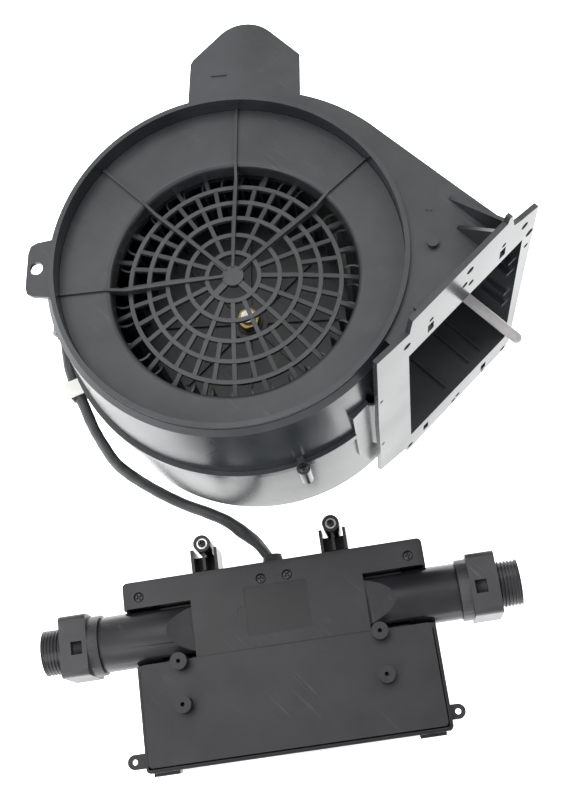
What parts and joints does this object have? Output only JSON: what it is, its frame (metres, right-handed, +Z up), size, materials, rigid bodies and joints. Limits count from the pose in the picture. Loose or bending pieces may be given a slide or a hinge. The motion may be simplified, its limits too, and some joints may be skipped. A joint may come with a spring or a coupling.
{
  "type": "extractor blower with lamp box",
  "caption": "Double-inlet centrifugal blower in a black plastic scroll with a rectangular outlet flange, cabled to a flat box with a lampholder at each end.",
  "frame": {"origin": "on the floor under the motor shaft, at the underside of the motor cap", "axes": "+Z up along the motor shaft, -Y out of the outlet flange"},
  "size_m": [0.369, 0.3627, 0.213],
  "materials": {
    "housing_plastic": "moulded black, fine texture on top, glossy sides",
    "grille_plastic": "moulded black, fine texture",
    "impeller_plastic": "moulded black",
    "box_plastic": "moulded dark grey, satin",
    "lampholder_plastic": "moulded dark grey, satin",
    "steel": "zinc plated",
    "black_screws": "blackened",
    "laminations": "stacked sheet",
    "copper": "varnished winding",
    "shield_alloy": "cast",
    "bronze": "sintered",
    "brass_nut": "turned",
    "rubber_black": "moulded",
    "cable_sleeve": "woven sleeve over the leads",
    "white_nylon": "natural nylon",
    "grey_rod": "light grey, satin",
    "board": "coated laminate",
    "terminals": "moulded",
    "capacitor_case": "moulded",
    "contact_brass": "pressed"
  },
  "bodies": {
    "root": {"upper_housing": "housing_plastic", "lower_housing": "housing_plastic", "inlet_grille": "grille_plastic", "seam_screws": "black_screws", "stator_core": "laminations", "stator_windings": "copper", "upper_bearing_shield": "shield_alloy", "lower_bearing_shield": "shield_alloy", "shaft_bearings": "bronze", "motor_through_bolts": "steel", "rubber_mounts": "rubber_black", "motor_cradle": "housing_plastic", "cradle_screws": "steel", "motor_cap": "housing_plastic", "outlet_guide_rod": "grey_rod", "housing_gland": "rubber_black", "cable_clip": "white_nylon", "supply_cable": "cable_sleeve", "box_gland": "rubber_black", "box_base": "box_plastic", "box_cover": "box_plastic", "cover_screws": "black_screws", "circuit_board": "board", "board_terminals": "terminals", "run_capacitor": "capacitor_case", "lamp_collar_left": "lampholder_plastic", "lamp_collar_right": "lampholder_plastic", "lampholder_left": "lampholder_plastic", "lampholder_right": "lampholder_plastic", "lamp_contacts_left": "contact_brass", "lamp_contacts_right": "contact_brass", "bracket_screws": "black_screws", "bracket_washers": "steel"},
    "rotor": {"impeller": "impeller_plastic", "impeller_nut": "brass_nut", "impeller_washer": "steel", "motor_shaft": "steel", "rotor_core": "laminations"}
  },
  "joints": [
    {"name": "impeller_spin", "type": "hinge", "parent": "root", "child": "rotor", "pos_m": [0, 0, 0.09], "axis": [0, 0, 1], "continuous": true}
  ]
}
